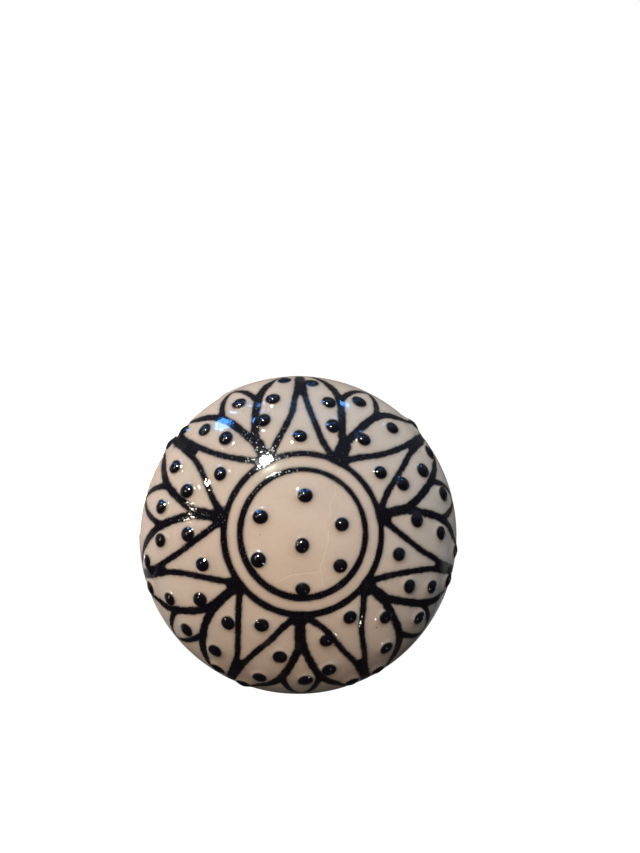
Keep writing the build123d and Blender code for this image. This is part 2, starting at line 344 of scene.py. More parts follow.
def petal_strokes(index):
    """Arches, leaf lines, foot and bud lines of one petal."""
    trail = bpy.context.scene.slip_trail
    petal = PETALS[index]
    middle = FIRST_PETAL_TURN + index * PITCH
    lines = []
    sides = (
        (-1, ARCHES[index][0], petal.left_branch, petal.left_leaf, RAYS[index - 1]),
        (1, ARCHES[index][1], petal.right_branch, petal.right_leaf, RAYS[index]),
    )
    for side, arch, branch, leaf, ray in sides:
        ray_turn = side * PITCH / 2 + ray[0]
        stem_turn = petal.stem + side * petal.spread
        arch_line = [(petal.stem + side * ARCH_FOOT_TURN, PETAL_FOOT), *zip(arch, ARCH_REACHES)]
        arch_line.append((ray_turn - side * ARCH_END_TURN, ARCH_END))
        leaf_line = [(stem_turn, PETAL_FOOT), (stem_turn, STEM_TOP)]
        leaf_line += [(petal.split[0] + side * SPLIT_TURN, petal.split[1]), branch, (leaf, LEAF_BEND)]
        leaf_line.append((ray_turn - side * LEAF_END_TURN, LEAF_END))
        lines.append((arch_line, trail.arch_width, (1.15, 1.0, 1.0)))
        lines.append((leaf_line, trail.leaf_width, (1.0, 1.0, 1.0, 0.6)))
    foot_line = ((petal.stem - 3.4, 10.7), (petal.stem, 10.5), (petal.stem + 2.6, 10.4))
    lines.append((foot_line, trail.foot_width, (1.0, 1.0)))
    bud_line = [petal.left_branch]
    bud_line += [bud_place(petal.left_branch, petal.tip, rise) for rise in (0.35, 0.75)]
    bud_line.append(petal.tip)
    bud_line += [bud_place(petal.right_branch, petal.tip, rise) for rise in (0.75, 0.35)]
    bud_line.append(petal.right_branch)
    lines.append((bud_line, trail.bud_width, (1.1, 0.9, 1.1)))
    strokes = []
    for number, (line, width, shares) in enumerate(lines):
        places = [flat_place(middle + turn, reach) for turn, reach in line]
        strokes.append(stroke(places, [width * share for share in shares], f"{index}.{number}"))
    return strokes


def ring_stroke(middle, reach, width, heavy_turn, swell, seed):
    """A slightly tall ring about a (right, up) middle in millimetres, drawn heavier towards one side."""
    turns = np.radians(np.arange(0, 360, 0.6))
    tall = 0.011
    across = reach * (1 - tall) * np.cos(turns)
    above = reach * (1 + tall) * np.sin(turns)
    points = lay(np.column_stack((across, above)) + np.array(middle) * MM)
    phases = random.Random(seed)
    unevenness = 1 + swell * np.cos(turns - radians(heavy_turn))
    for waves in (7, 16, 31):
        unevenness = unevenness + 0.03 * np.sin(waves * turns + phases.uniform(0, 2 * pi))
    return points, width / 2 * unevenness


def pattern_strokes():
    """Every trailed line of the front."""
    trail = bpy.context.scene.slip_trail
    ray_end = body_outline()["girth_reach"] / MM - 0.3
    strokes = [
        ring_stroke((0.11, 0.07), trail.inner_reach, trail.ring_width, 255, 0.19, "inner"),
        ring_stroke((0.11, 0.01), trail.outer_reach, trail.ring_width * 1.05, 250, 0.1, "outer"),
    ]
    for index, (aside, fork, width) in enumerate(RAYS):
        strokes += petal_strokes(index)
        ray_turn = FIRST_PETAL_TURN + (index + 0.5) * PITCH + aside
        places = [flat_place(ray_turn, reach) for reach in (fork + width / 2 + 0.1, RAY_BEND, ray_end)]
        strokes.append(stroke(places, (width * MM, width * MM, width * 0.9 * MM), f"ray.{index}"))
    return strokes


def line_distance(points, strokes):
    """Distance of points from the edge of the nearest line, negative inside, with joints rounded off."""
    joining = bpy.context.scene.slip_trail.joining
    margin = 1.3 * MM
    block_size = 3000
    total = np.full(len(points), np.exp(-margin / joining))
    for path, half in strokes:
        inside = np.all((points > path.min(0) - margin) & (points < path.max(0) + margin), axis=1)
        near = np.nonzero(inside)[0]
        for block in np.array_split(near, max(1, len(near) // block_size)):
            gaps = np.linalg.norm(points[block, None, :] - path[None, :, :], axis=2) - half
            total[block] += np.exp(-gaps.min(axis=1) / joining)
    return -joining * np.log(total)


def soft_positive(value, softness):
    """The value where it is well above nought, fading smoothly to nought below it."""
    return softness * np.logaddexp(0, value / softness)


def line_height(distance, reach):
    """Height of a line over the glaze at a distance from its edge; it runs thin over the shoulder."""
    trail = bpy.context.scene.slip_trail
    depth = soft_positive(-distance, trail.foot)
    thinning = np.interp(reach / MM, (20.0, 25.5), (1.0, 0.45))
    return trail.height * thinning * (1 - np.exp(-depth / trail.rise)) + trail.lift


def slip_and_shade_cover(distance):
    """Share of black in the glaze at a distance from the slip's edge: solid, then a soft dark halo that is
    partly slip bleeding into the glaze and partly painted contact shade.
    """
    fade = np.clip((distance + 0.07 * MM) / (0.26 * MM), 0, 1)
    solid = 1 - fade**2 * (3 - 2 * fade)
    # The halo: partly slip bleed, partly painted shade where the slip meets the glaze
    bleed_and_shade = 0.34 * np.exp(-np.clip(distance, 0, None) / (0.28 * MM))
    return np.maximum(solid, bleed_and_shade)


def dot_places():
    """Flat places of every dot."""
    places = [np.array(dot) * MM for dot in MIDDLE_DOTS]
    for index, dots in enumerate(PETAL_DOTS):
        middle = FIRST_PETAL_TURN + index * PITCH
        places += [flat_place(middle + turn, reach) for turn, reach in dots]
        places.append(flat_place(middle + PITCH / 2 + RAY_DOTS[index][0], RAY_DOTS[index][1]))
    return places


def dot_distance(points):
    """Distance of points from the edge of the nearest dot."""
    centres = lay(np.array(dot_places()))
    nearest = np.min([np.linalg.norm(points - centre, axis=1) for centre in centres], axis=0)
    return nearest - bpy.context.scene.slip_trail.dot_width / 2


def fan(pole, first, count):
    """Triangles from one point to a ring of points."""
    return [(pole, first + (k + 1) % count, first + k) for k in range(count)]


def band(upper, lower, count):
    """Quads between two rings of points."""
    return [(upper + k, upper + (k + 1) % count, lower + (k + 1) % count, lower + k) for k in range(count)]


def shifted(faces, start):
    """The same faces on points that start further on in a mesh."""
    return [tuple(corner + start for corner in face) for face in faces]


def surface_mesh(name, points, faces, cover=None, sharp=()):
    """A smooth-shaded mesh object, with the share of slip and of its painted shade on its points and sharp
    edges at its rim.
    """
    mesh = bpy.data.meshes.new(name)
    mesh.from_pydata(points.tolist(), [], faces)
    mesh.validate()
    mesh.shade_smooth()
    if cover is not None:
        layer = mesh.attributes.new("slip_and_shade_cover", "FLOAT", "POINT")
        layer.data.foreach_set("value", np.asarray(cover, np.float32))
    if len(sharp):
        rim = {tuple(sorted(edge)) for edge in sharp}
        for edge in mesh.edges:
            edge.use_edge_sharp = tuple(sorted(edge.vertices)) in rim
    piece = bpy.data.objects.new(name, mesh)
    bpy.context.scene.collection.objects.link(piece)
    return piece


def sharpen(piece, degrees, weld=False):
    """Turns a piece's faces outward and makes its edges crisp where they bend by more than an angle."""
    bm = bmesh.new()
    bm.from_mesh(piece.data)
    if weld:
        bmesh.ops.remove_doubles(bm, verts=bm.verts, dist=1e-7)
    bmesh.ops.recalc_face_normals(bm, faces=bm.faces)
    for edge in bm.edges:
        if len(edge.link_faces) == 2 and edge.calc_face_angle() > radians(degrees):
            edge.smooth = False
    bm.to_mesh(piece.data)
    bm.free()


def revolve_mesh(outline, segments):
    """A surface turned round the axis from (radius, depth) points; points on the axis become poles."""
    turns = np.linspace(0, 2 * pi, segments, endpoint=False)
    points = []
    rows = []
    for radius, depth in outline:
        if radius < 1e-9:
            rows.append([len(points)] * segments)
            points.append((0.0, depth, 0.0))
        else:
            rows.append(list(range(len(points), len(points) + segments)))
            points += [(radius * cos(t), depth, radius * sin(t)) for t in turns]
    faces = []
    for upper, lower in zip(rows, rows[1:]):
        for k in range(segments):
            following = (k + 1) % segments
            corners = (upper[k], upper[following], lower[following], lower[k])
            faces.append(tuple(dict.fromkeys(corners)))
    return np.array(points), faces


def arc(centre, radius, start, end, count):
    """Points of an arc about a (radius, depth) centre, by angles from the outward direction."""
    angles = np.linspace(start, end, count)
    return [(centre[0] + radius * cos(a), centre[1] + radius * sin(a)) for a in angles]


def finish_piece(piece, material, slot, *nodes):
    """Gives a piece its material, its body and the nodes that it stands for; the slot is not used."""
    piece.data.materials.clear()
    piece.data.materials.append(material)
    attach(piece, "root")
    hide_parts(*nodes)


class Nodes:
    """Short ways to add and join shader nodes in a tree."""

    def __init__(self, tree):
        self.tree = tree
        tree.nodes.clear()

    def add(self, kind, **settings):
        node = self.tree.nodes.new(kind)
        for name, value in settings.items():
            setattr(node, name, value)
        return node

    def join(self, source, target):
        self.tree.links.new(source, target)

    def feed(self, target, source):
        """Joins a socket to another socket, or sets it to a plain value."""
        if isinstance(source, bpy.types.NodeSocket):
            self.join(source, target)
        else:
            target.default_value = source

    def math(self, operation, first, second=0.0, clamp=False):
        node = self.add("ShaderNodeMath", operation=operation, use_clamp=clamp)
        self.feed(node.inputs[0], first)
        self.feed(node.inputs[1], second)
        return node.outputs[0]

    def times(self, first, second):
        return self.math("MULTIPLY", first, second)

    def plus(self, first, second):
        return self.math("ADD", first, second)

    def vector(self, operation, first, second=(0.0, 0.0, 0.0), output=0):
        node = self.add("ShaderNodeVectorMath", operation=operation)
        self.feed(node.inputs[0], first)
        self.feed(node.inputs[1], second)
        return node.outputs[output]

    def span(self, value, low, high, to_low=0.0, to_high=1.0):
        """Maps a value from one range to another, held at both ends."""
        node = self.add("ShaderNodeMapRange", interpolation_type="SMOOTHSTEP")
        self.feed(node.inputs["Value"], value)
        for name, number in (("From Min", low), ("From Max", high), ("To Min", to_low), ("To Max", to_high)):
            node.inputs[name].default_value = number
        return node.outputs["Result"]

    def mix(self, factor, first, second):
        """Blends two colours, given as sockets or as three numbers."""
        node = self.add("ShaderNodeMix", data_type="RGBA")
        self.feed(node.inputs["Factor"], factor)
        for target, colour in ((node.inputs["A"], first), (node.inputs["B"], second)):
            plain = not isinstance(colour, bpy.types.NodeSocket)
            self.feed(target, rgba(colour) if plain else colour)
        return node.outputs["Result"]

    def noise(self, vector, scale, detail=2.0, output="Fac"):
        node = self.add("ShaderNodeTexNoise")
        self.join(vector, node.inputs["Vector"])
        node.inputs["Scale"].default_value = scale
        node.inputs["Detail"].default_value = detail
        return node.outputs[output]

    def cells(self, vector, scale):
        node = self.add("ShaderNodeTexVoronoi")
        self.join(vector, node.inputs["Vector"])
        node.inputs["Scale"].default_value = scale
        return node.outputs["Distance"], node.outputs["Color"]

    def red(self, colour):
        node = self.add("ShaderNodeSeparateColor")
        self.join(colour, node.inputs[0])
        return node.outputs[0]

    def place(self):
        return self.add("ShaderNodeTexCoord").outputs["Object"]

    def axes(self, place):
        node = self.add("ShaderNodeSeparateXYZ")
        self.join(place, node.inputs[0])
        return node.outputs

    def use(self, group, **values):
        """Places a shared group, built at its first use, and feeds its inputs."""
        tree = bpy.data.node_groups.get(group) or SHARED_GROUPS[group](group)
        node = self.add("ShaderNodeGroup", node_tree=tree)
        for name, value in values.items():
            self.feed(node.inputs[name.title()], value)
        return node.outputs


def rgba(colour):
    """A colour as four numbers."""
    return (*colour, 1.0)


# Kinds of socket on the shared groups
COLOUR = "NodeSocketColor"
VALUE = "NodeSocketFloat"
VECTOR = "NodeSocketVector"


def new_group(name, inputs, outputs):
    """A shader node group with named sockets, its node helper and its two ends."""
    tree = bpy.data.node_groups.new(name, "ShaderNodeTree")
    for side, sockets in (("INPUT", inputs), ("OUTPUT", outputs)):
        for socket_name, kind in sockets.items():
            tree.interface.new_socket(name=socket_name, in_out=side, socket_type=kind)
    nodes = Nodes(tree)
    return tree, nodes, nodes.add("NodeGroupInput").outputs, nodes.add("NodeGroupOutput").inputs


def glaze_tone(name):
    """Clouded ivory with iron specks, and the faint ripple of the glaze."""
    inputs = {"Ivory": COLOUR, "Blush": COLOUR, "Speck": COLOUR}
    tree, nodes, given, out = new_group(name, inputs, {"Color": COLOUR, "Height": VALUE})
    place = nodes.place()
    clouds = nodes.span(nodes.noise(place, 170.0, 3.0), 0.38, 0.68)
    grain = nodes.span(nodes.noise(place, 2200.0), 0.3, 0.7, 0.0, 0.22)
    tone = nodes.mix(nodes.plus(nodes.times(clouds, 0.55), grain), given["Ivory"], given["Blush"])
    distance, colour = nodes.cells(place, 430.0)
    chosen = nodes.span(nodes.red(colour), 0.72, 0.9)
    speck = nodes.times(nodes.span(distance, 0.03, 0.075, 1.0, 0.0), chosen)
    nodes.join(nodes.mix(nodes.times(speck, 0.75), tone, given["Speck"]), out["Color"])
    nodes.join(nodes.noise(place, 480.0), out["Height"])
    return tree


def slip_tone(name):
    """Blue-black slip that turns brown where it is thin, with pits on its crests."""
    inputs = {"Slip": COLOUR, "Thin": COLOUR, "Wear": VALUE}
    tree, nodes, given, out = new_group(name, inputs, {"Color": COLOUR, "Height": VALUE, "Roughness": VALUE})
    place = nodes.place()
    girth_y = body_outline()["girth_y"]
    at_rim = nodes.span(nodes.axes(place)[1], girth_y - 3.2 * MM, girth_y + 0.4 * MM, 0.0, 0.4)
    patches = nodes.span(nodes.noise(place, 420.0), 0.56, 0.78, 0.0, 0.4)
    thin = nodes.times(nodes.math("MAXIMUM", patches, at_rim), given["Wear"])
    nodes.join(nodes.mix(thin, given["Slip"], given["Thin"]), out["Color"])
    pits, _ = nodes.cells(place, 2600.0)
    wrinkles = nodes.noise(place, 2300.0, 1.0)
    worn = nodes.times(nodes.span(nodes.noise(place, 330.0), 0.3, 0.6, 0.55, 1.0), given["Wear"])
    rough = nodes.plus(nodes.times(pits, 0.6), wrinkles)
    nodes.join(nodes.times(rough, worn), out["Height"])
    matte = nodes.times(nodes.span(pits, 0.12, 0.32, 0.32, 0.0), given["Wear"])
    polished = nodes.plus(nodes.times(worn, -0.04), 0.095)
    nodes.join(nodes.plus(polished, matte), out["Roughness"])
    return tree


def turned_metal(name):
    """Lathe lines round the axis, dulled in patches."""
    inputs = {"Metal": COLOUR, "Tarnish": COLOUR, "Dulling": VALUE}
    tree, nodes, given, out = new_group(name, inputs, {"Color": COLOUR, "Height": VALUE, "Roughness": VALUE})
    place = nodes.place()
    x, y, z = nodes.axes(place)
    lathe = nodes.add("ShaderNodeCombineXYZ")
    nodes.join(nodes.math("SQRT", nodes.plus(nodes.times(x, x), nodes.times(z, z))), lathe.inputs[0])
    nodes.join(y, lathe.inputs[1])
    lines = nodes.noise(lathe.outputs[0], 5200.0)
    dull = nodes.times(nodes.span(nodes.noise(place, 260.0, 4.0), 0.42, 0.72), given["Dulling"])
    nodes.join(nodes.mix(dull, given["Metal"], given["Tarnish"]), out["Color"])
    nodes.join(lines, out["Height"])
    shine = nodes.plus(nodes.times(lines, 0.1), nodes.times(dull, 0.3))
    nodes.join(nodes.plus(shine, 0.16), out["Roughness"])
    return tree


def hairline(name):
    """Distance, seen from the front, from a straight stretch of a crack."""
    inputs = {"Place": VECTOR, "Start": VECTOR, "Run": VECTOR}
    tree, nodes, given, out = new_group(name, inputs, {"Distance": VALUE})
    away = nodes.vector("SUBTRACT", given["Place"], given["Start"])
    along = nodes.vector("DOT_PRODUCT", away, given["Run"], output=1)
    length = nodes.vector("DOT_PRODUCT", given["Run"], given["Run"], output=1)
    share = nodes.math("DIVIDE", along, length, clamp=True)
    reached = nodes.add("ShaderNodeVectorMath", operation="SCALE")
    nodes.join(given["Run"], reached.inputs[0])
    nodes.join(share, reached.inputs["Scale"])
    nodes.join(nodes.vector("DISTANCE", away, reached.outputs[0], output=1), out["Distance"])
    return tree


SHARED_GROUPS = {
    "Glaze Tone": glaze_tone,
    "Slip Tone": slip_tone,
    "Turned Metal": turned_metal,
    "Hairline": hairline,
}


def new_material(name):
    """A material with a principled shader, its node helper and the shader's sockets."""
    material = bpy.data.materials.new(name)
    material.use_nodes = True
    nodes = Nodes(material.node_tree)
    shader = nodes.add("ShaderNodeBsdfPrincipled")
    nodes.join(shader.outputs[0], nodes.add("ShaderNodeOutputMaterial").inputs["Surface"])
    return material, nodes, shader.inputs


def add_bump(nodes, shader, height, depth):
    """Raises a shader's surface by a height map, its full height given in metres."""
    bump = nodes.add("ShaderNodeBump")
    bump.inputs["Strength"].default_value = 1.0
    bump.inputs["Distance"].default_value = depth
    nodes.join(height, bump.inputs["Height"])
    nodes.join(bump.outputs["Normal"], shader["Normal"])


def slip_and_shade_share(nodes):
    """The share of slip, with its halo of bleed and painted contact shade, that a mesh carries on its
    points.
    """
    return nodes.add("ShaderNodeAttribute", attribute_name="slip_and_shade_cover").outputs["Fac"]


def ivory_tone(nodes):
    """The ivory glaze's colour and ripple."""
    finish = bpy.context.scene.knob_finish
    colours = {name: rgba(getattr(finish, name)) for name in ("ivory", "blush", "speck")}
    return nodes.use("Glaze Tone", **colours)


def crack_distance(nodes, place):
    """Distance from the nearest hairline crack, each a little unsteady."""
    wander = nodes.vector("SUBTRACT", nodes.noise(place, 700.0, output="Color"), (0.5, 0.5, 0.5))
    nudge = nodes.vector("MULTIPLY", wander, (0.5 * MM, 0.0, 0.5 * MM))
    front = nodes.vector("MULTIPLY", nodes.vector("ADD", place, nudge), (1.0, 0.0, 1.0))
    nearest = 1.0
    for points in CRACKS:
        for start, end in zip(points, points[1:]):
            begin = (start[0] * MM, 0.0, start[1] * MM)
            run = ((end[0] - start[0]) * MM, 0.0, (end[1] - start[1]) * MM)
            stretch = nodes.use("Hairline", place=front, start=begin, run=run)["Distance"]
            nearest = nodes.math("MINIMUM", stretch, nearest)
    return nearest


def ivory_glaze():
    """Ivory body under clear glaze, darkened beside the slip by bleed and painted contact shade, cracked in
    front and bare round the ferrule.
    """
    finish = bpy.context.scene.knob_finish
    material, nodes, shader = new_material("glazed_ivory")
    tone = ivory_tone(nodes)
    place = nodes.place()
    depth = nodes.axes(place)[1]
    on_front = nodes.math("LESS_THAN", depth, body_outline()["girth_y"])
    crack = nodes.span(crack_distance(nodes, place), 0.02 * MM, 0.1 * MM, 1.0, 0.0)
    line = nodes.times(crack, on_front)
    # Beside the slip the ivory darkens: slip bleed and painted contact shade
    stained_and_shaded = nodes.mix(slip_and_shade_share(nodes), tone["Color"], finish.slip)
    cracked = nodes.mix(nodes.times(line, 0.3), stained_and_shaded, finish.crack)
    ragged = nodes.plus(depth, nodes.times(nodes.noise(place, 600.0, 3.0), 1.6 * MM))
    bare = nodes.span(ragged, ferrule_low.y - 0.1 * MM, ferrule_low.y + 0.5 * MM)
    nodes.join(nodes.mix(bare, cracked, finish.biscuit), shader["Base Color"])
    nodes.join(nodes.plus(nodes.times(bare, 0.5), 0.09), shader["Roughness"])
    shader["IOR"].default_value = 1.5
    add_bump(nodes, shader, nodes.math("SUBTRACT", tone["Height"], nodes.times(line, 1.2)), 0.012 * MM)
    return material


def black_slip(name, wear):
    """Raised slip that fades into the ivory glaze at its feet through a halo of bleed and painted contact
    shade, shiny where it isn't worn.
    """
    finish = bpy.context.scene.knob_finish
    material, nodes, shader = new_material(name)
    slip = nodes.use("Slip Tone", slip=rgba(finish.slip), thin=rgba(finish.thin_slip), wear=wear)
    share = slip_and_shade_share(nodes)
    nodes.join(nodes.mix(share, ivory_tone(nodes)["Color"], slip["Color"]), shader["Base Color"])
    gloss = nodes.times(slip["Roughness"], share)
    nodes.join(nodes.math("MAXIMUM", gloss, 0.045), shader["Roughness"])
    shader["IOR"].default_value = 1.65
    add_bump(nodes, shader, nodes.times(slip["Height"], share), 0.012 * MM)
    return material


def plated_metal(name, colour, dulling, matte, line_depth):
    """Turned and softly polished plating, greyed in patches."""
    tarnish = rgba(bpy.context.scene.knob_finish.tarnish)
    material, nodes, shader = new_material(name)
    metal = nodes.use("Turned Metal", metal=rgba(colour), tarnish=tarnish, dulling=dulling)
    nodes.join(metal["Color"], shader["Base Color"])
    nodes.join(nodes.plus(metal["Roughness"], matte), shader["Roughness"])
    shader["Metallic"].default_value = 1.0
    add_bump(nodes, shader, metal["Height"], line_depth)
    return material


def setting_plaster():
    """Matt plaster with grains and small air holes."""
    finish = bpy.context.scene.knob_finish
    material, nodes, shader = new_material("set_plaster")
    place = nodes.place()
    grain = nodes.noise(place, 1500.0, 4.0)
    holes, _ = nodes.cells(place, 900.0)
    pocked = nodes.span(holes, 0.08, 0.2)
    dark = tuple(0.7 * level for level in finish.plaster)
    nodes.join(nodes.mix(nodes.span(grain, 0.3, 0.7), dark, finish.plaster), shader["Base Color"])
    nodes.join(nodes.span(grain, 0.2, 0.8, 0.75, 0.95), shader["Roughness"])
    add_bump(nodes, shader, nodes.times(pocked, grain), 0.05 * MM)
    return material


class KNOB_OT_glazed_body(bpy.types.Operator):
    """Turn the glazed body, with its slow waves and the slip's bleed and painted contact shade beside the
    slip
    """

    bl_idname = "knob.glazed_body"
    bl_label = "Glazed Body"

    front_rows = 150

    def execute(self, context):
        count = context.scene.knob_shape.segments
        outline = body_outline()
        turns = np.linspace(0, 2 * pi, count, endpoint=False)
        ring = np.column_stack((np.cos(turns), np.sin(turns)))
        reaches = np.linspace(0, outline["girth_reach"], self.front_rows)
        front = lay(np.vstack([np.zeros((1, 2))] + [ring * reach for reach in reaches[1:]]))
        rear, rear_faces = revolve_mesh(self.rear_outline(outline), count)
        faces = fan(0, 1, count)
        for row in range(self.front_rows - 1):
            first = 1 + row * count
            faces += band(first, first + count, count)
        faces += shifted(rear_faces, len(front))
        bleed_and_shade = np.zeros(len(front) + len(rear))
        from_slip = np.minimum(line_distance(front, pattern_strokes()), dot_distance(front))
        # The front's points carry the slip's bleed and painted contact shade
        bleed_and_shade[: len(front)] = slip_and_shade_cover(from_slip)
        piece = surface_mesh("glazed_body", np.vstack((front, rear)), faces, bleed_and_shade)
        sharpen(piece, 40)
        finish_piece(piece, ivory_glaze(), "ivory_glaze", "ceramic_body")
        return {"FINISHED"}

    def rear_outline(self, outline):
        """The body from just behind its girth to the floor of its socket, as (radius, depth)."""
        shape = bpy.context.scene.knob_shape
        centre = (outline["offset"], outline["girth_y"])
        lean = pi / 2 - outline["back_lean"]
        land_radius = bpy.context.scene.knob_fixing.collar_diameter / 2
        land_angle = atan2(sqrt(shape.back_radius**2 - land_radius**2), land_radius)
        spigot_radius = shape.spigot_diameter / 2
        spigot_foot = ferrule_low.y + shape.spigot_length
        socket_radius = shape.socket_diameter / 2
        socket_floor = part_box("setting_plaster")[0].y
        points = arc(centre, shape.shoulder_radius, 0.02, lean, 34)
        points += arc((0.0, outline["back_centre"]), shape.back_radius, lean, land_angle, 20)[1:]
        points += [
            (land_radius - 0.2 * MM, ferrule_low.y),
            (spigot_radius, ferrule_low.y),
            (spigot_radius, spigot_foot),
            (socket_radius, spigot_foot),
            (socket_radius, socket_floor),
            (0.0, socket_floor),
        ]
        return points


class KNOB_OT_trailed_lines(bpy.types.Operator):
    """Lay the rings, arches, leaf lines, buds and rays as one raised web of slip"""

    bl_idname = "knob.trailed_lines"
    bl_label = "Trailed Lines"

    edge = 0.3 * MM
    margin = 1.6 * MM

    def execute(self, context):
        trail = context.scene.slip_trail
        half = ceil((body_outline()["girth_reach"] + self.margin) / trail.step)
        axis = np.arange(-half, half + 1) * trail.step
        size = len(axis)
        flat = np.column_stack([grid.ravel() for grid in np.meshgrid(axis, axis)])
        distance = line_distance(lay(flat), pattern_strokes())
        field = distance.reshape(size, size)
        slope_v, slope_u = np.gradient(field, trail.step)
        slope = np.column_stack((slope_u.ravel(), slope_v.ravel()))
        nearest = np.minimum.reduce((field[:-1, :-1], field[1:, :-1], field[:-1, 1:], field[1:, 1:]))
        rows, columns = np.nonzero(nearest < self.edge)
        corner = rows * size + columns
        cells = np.column_stack((corner, corner + 1, corner + size + 1, corner + size))
        used, cells = np.unique(cells, return_inverse=True)
        over = np.clip(distance[used] - self.edge, 0, None)
        steep = np.maximum((slope[used] ** 2).sum(axis=1), 0.2)
        pull = np.clip(over / steep, 0, 1.5 * trail.step)
        trimmed = flat[used] - slope[used] * pull[:, None]
        reached = np.minimum(distance[used], self.edge)
        top = lay(trimmed, line_height(reached, np.hypot(*trimmed.T)))
        under = lay(trimmed, -trail.key)
        count = len(used)
        faces = [tuple(cell) for cell in cells.reshape(-1, 4).tolist()]
        rim = self.rim_edges(faces)
        under_faces = shifted([face[::-1] for face in faces], count)
        walls = [(b, a, a + count, b + count) for a, b in rim]
        # The lines' skirts carry the slip's bleed and painted contact shade
        cover = np.concatenate((slip_and_shade_cover(reached), np.zeros(count)))
        shell = faces + under_faces + walls
        piece = surface_mesh("trailed_lines", np.vstack((top, under)), shell, cover, rim)
        finish_piece(piece, black_slip("line_slip", 1.0), "black_slip", "slip_lines")
        return {"FINISHED"}

    def rim_edges(self, faces):
        """Edges that only one face has, in that face's direction."""
        seen = set()
        for face in faces:
            seen.update(zip(face, face[1:] + face[:1]))
        return [(a, b) for a, b in seen if (b, a) not in seen]


class KNOB_OT_trailed_dots(bpy.types.Operator):
    """Set the raised dots of the middle, the rays, the leaves and the buds"""

    bl_idname = "knob.trailed_dots"
    bl_label = "Trailed Dots"

    rings = 18
    spokes = 36
    skirt = 0.95 * MM

    def execute(self, context):
        strokes = pattern_strokes()
        draws = random.Random(11)
        last = 1 + (self.rings - 1) * self.spokes
        under = last + self.spokes
        dot_faces = fan(0, 1, self.spokes)
        for ring in range(self.rings - 1):
            first = 1 + ring * self.spokes
            dot_faces += band(first, first + self.spokes, self.spokes)
        dot_faces += [face[::-1] for face in fan(under, last, self.spokes)]
        points = []
        faces = []
        cover = []
        rims = []
        for number, place in enumerate(dot_places()):
            top, middle, share = self.dot(place, draws, strokes)
            start = number * (under + 1)
            points += [top, middle]
            cover += [share, np.zeros(1)]
            faces += shifted(dot_faces, start)
            rim = start + last
            rims += [(rim + k, rim + (k + 1) % self.spokes) for k in range(self.spokes)]
        piece = surface_mesh("trailed_dots", np.vstack(points), faces, np.concatenate(cover), rims)
        finish_piece(piece, black_slip("dot_slip", 0.1), "black_slip", "slip_dots")
        return {"FINISHED"}

    def dot(self, place, draws, strokes):
        """Points of one dot: its top with the glaze that climbs to it, and the middle of its underside."""
        trail = bpy.context.scene.slip_trail
        half = trail.dot_width / 2 * draws.uniform(0.93, 1.06)
        tall = trail.dot_height * draws.uniform(0.88, 1.1)
        squash = draws.uniform(-0.05, 0.05)
        skew = draws.uniform(0, 2 * pi)
        reach = hypot(*place)
        at_rim = np.clip((reach - 20.5 * MM) / (2.0 * MM), 0, 1)
        tall *= 1 - 0.25 * at_rim
        foot = trail.dot_foot * (1 + 0.9 * at_rim)
        outward = place / reach
        along = np.array((-outward[1], outward[0]))
        spread = reach / hypot(*lay(place[None, :])[0, [0, 2]])
        turns = np.linspace(0, 2 * pi, self.spokes, endpoint=False)
        flat = [place[None, :]]
        from_edge = [np.array([-half])]
        for radius in (half + self.skirt) * np.linspace(0, 1, self.rings + 1)[1:] ** 0.9:
            oval = radius * (1 + squash * np.cos(2 * (turns - skew)))
            outwards = np.outer(oval * np.cos(turns), outward)
            flat.append(place + outwards + np.outer(oval * np.sin(turns) * spread, along))
            from_edge.append(np.full(self.spokes, radius - half))
        flat = np.vstack(flat)
        from_edge = np.concatenate(from_edge)
        depth = np.minimum(soft_positive(-from_edge, foot) / half, 1)
        height = tall * (1 - (1 - depth) ** 2) ** 0.75 + 1.5 * trail.lift
        # The glaze round a dot carries the slip's bleed and painted contact shade
        share = np.maximum(slip_and_shade_cover(from_edge), slip_and_shade_cover(line_distance(lay(flat), strokes)))
        return lay(flat, height), lay(place[None, :], -trail.key), share


class KNOB_OT_turned_ferrule(bpy.types.Operator):
    """Turn the ferrule with its flange, cove, collar, seat and bolt hole"""

    bl_idname = "knob.turned_ferrule"
    bl_label = "Turned Ferrule"

    segments = 128

    def execute(self, context):
        shape = context.scene.knob_shape
        fixing = context.scene.knob_fixing
        back = ferrule_high.y
        front = ferrule_low.y
        flange_radius = ferrule_high.x
        flange_front = back - fixing.flange_thickness
        collar_back = front + fixing.collar_thickness
        waist = (fixing.collar_diameter - fixing.collar_thickness) / 2
        cove_span = flange_front - collar_back
        cove_foot = (waist + cove_span / 2, flange_front)
        seat_radius = shape.spigot_diameter / 2 + fixing.seat_clearance
        seat_floor = front + shape.spigot_length + fixing.seat_clearance
        hole = fixing.hole_diameter / 2
        bevel = fixing.edge_break
        rounding = fixing.flange_rounding
        bull = fixing.collar_thickness / 2
        outline = [(hole, back - bevel), (hole + bevel, back), (flange_radius - bevel, back)]
        outline.append((flange_radius, back - bevel))
        outline += arc((flange_radius - rounding, flange_front + rounding), rounding, 0, -pi / 2, 8)
        outline += self.cove(cove_foot, (waist, collar_back), cove_span / 4)
        outline += arc((waist, front + bull), bull, pi / 2, -pi / 2, 18)[1:]
        outline += [(seat_radius, front), (seat_radius, seat_floor), (hole, seat_floor)]
        outline.append(outline[0])
        piece = surface_mesh("turned_ferrule", *revolve_mesh(outline, self.segments))
        sharpen(piece, 35, weld=True)
        nickel = plated_metal("nickel_plate", context.scene.knob_finish.nickel, 0.15, 0.0, 0.006 * MM)
        finish_piece(piece, nickel, "plated_ferrule", "base_ferrule")
        return {"FINISHED"}

    def cove(self, foot, top, sag):
        """Points of the hollow between flange and collar."""
        run = np.array(top) - np.array(foot)
        inward = np.array((run[1], -run[0])) / np.linalg.norm(run)
        shares = np.linspace(0, 1, 14)
        return [tuple(foot + share * run + 4 * share * (1 - share) * sag * inward) for share in shares]


